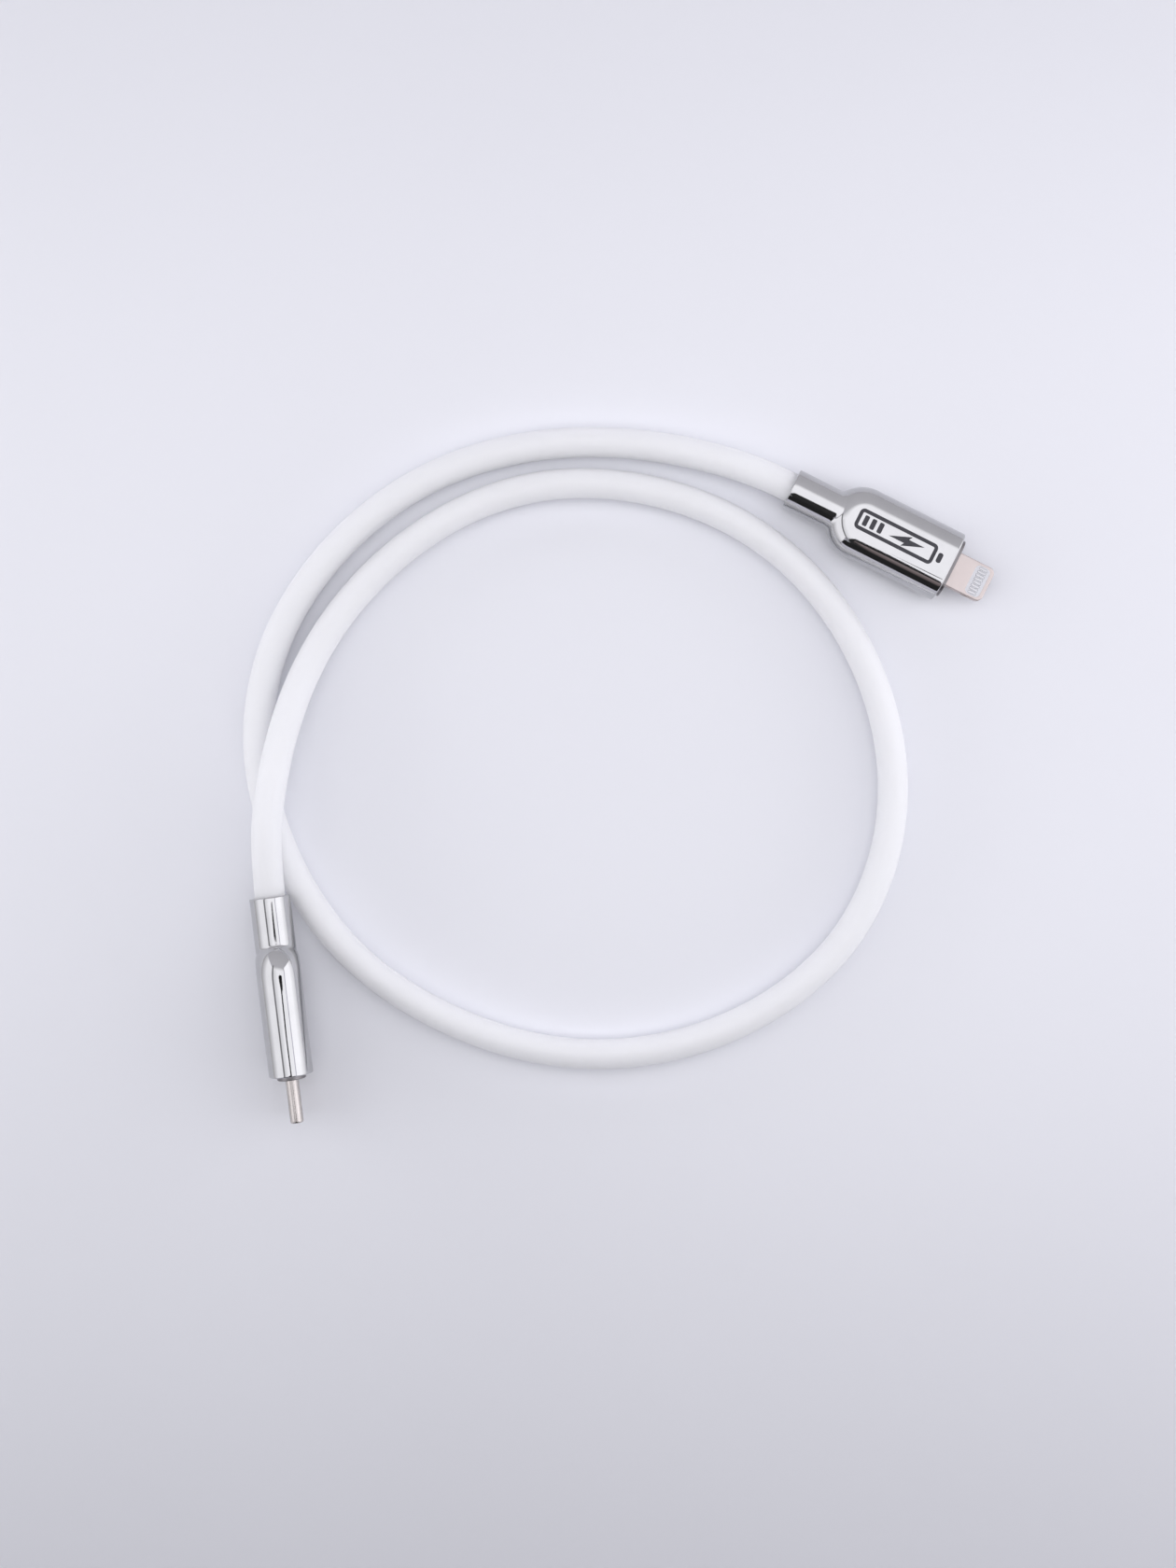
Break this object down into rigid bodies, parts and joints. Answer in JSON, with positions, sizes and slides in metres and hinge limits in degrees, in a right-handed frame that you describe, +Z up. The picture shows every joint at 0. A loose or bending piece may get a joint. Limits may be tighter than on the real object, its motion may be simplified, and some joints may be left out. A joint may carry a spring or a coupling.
{
  "type": "phone charging cable",
  "caption": "Thick white silicone charging cable lying in a loop, with a chrome-plated phone plug on one end and a chrome-plated oval charger plug on the other.",
  "frame": {"origin": "centre of the footprint of the two plugs, on the surface that the cable lies on", "axes": "+Z up from the surface, +X along the longer side of the plugs' footprint, towards the phone plug's end, +Y towards the phone plug's side of the loop"},
  "size_m": [0.1385, 0.1277, 0.0133],
  "materials": {
    "white_silicone": "matt",
    "core_fabric": "matt",
    "chrome_plate": "polished",
    "collar_grey": "satin",
    "tab_steel": "satin",
    "contact_silver": "satin",
    "contact_white": "satin",
    "shell_steel": "satin",
    "contact_gold": "polished",
    "insulator_black": "matt",
    "spring_steel": "satin",
    "board_green": "satin",
    "chip_black": "matt",
    "capacitor_tan": "matt",
    "mould_ivory": "matt",
    "crimp_brass": "satin",
    "wire_red": "satin",
    "wire_black": "satin",
    "wire_green": "satin"
  },
  "bodies": {
    "cable": {"cable_jacket": "white_silicone", "cable_core": "core_fabric", "phone_plug_housing": "chrome_plate", "phone_plug_collar": "collar_grey", "phone_plug_tab": "tab_steel", "phone_plug_contact_insert": "contact_white", "phone_plug_upper_contacts": "contact_silver", "phone_plug_lower_contacts": "contact_silver", "phone_plug_circuit_board": "board_green", "phone_plug_control_chip": "chip_black", "phone_plug_power_chip": "chip_black", "phone_plug_capacitors": "capacitor_tan", "phone_plug_inner_mould": "mould_ivory", "phone_plug_crimp_ring": "crimp_brass", "phone_plug_power_wire": "wire_red", "phone_plug_ground_wire": "wire_black", "phone_plug_data_wires": "wire_green", "charger_plug_housing": "chrome_plate", "charger_plug_collar": "collar_grey", "charger_plug_shell": "shell_steel", "charger_plug_insulator": "insulator_black", "charger_plug_upper_contacts": "contact_gold", "charger_plug_lower_contacts": "contact_gold", "charger_plug_mid_plate": "spring_steel", "charger_plug_ground_springs": "spring_steel", "charger_plug_circuit_board": "board_green", "charger_plug_marker_chip": "chip_black", "charger_plug_resistors": "chip_black", "charger_plug_inner_mould": "mould_ivory", "charger_plug_crimp_ring": "crimp_brass", "charger_plug_power_wire": "wire_red", "charger_plug_ground_wire": "wire_black", "charger_plug_data_wires": "wire_green"},
    "left_latch": {"charger_plug_left_latch": "spring_steel"},
    "right_latch": {"charger_plug_right_latch": "spring_steel"}
  },
  "joints": [
    {"name": "left_latch_spring", "type": "hinge", "parent": "cable", "child": "left_latch", "pos_m": [-0.06133, -0.05252, 0.00319], "axis": [0.9775, 0.12, -0.1736], "range_deg": [0, 1.5], "stiffness_Nm_per_rad": 0.3},
    {"name": "right_latch_spring", "type": "hinge", "parent": "cable", "child": "right_latch", "pos_m": [-0.06011, -0.05237, 0.01013], "axis": [-0.9775, -0.12, 0.1736], "range_deg": [0, 1.5], "stiffness_Nm_per_rad": 0.3}
  ]
}
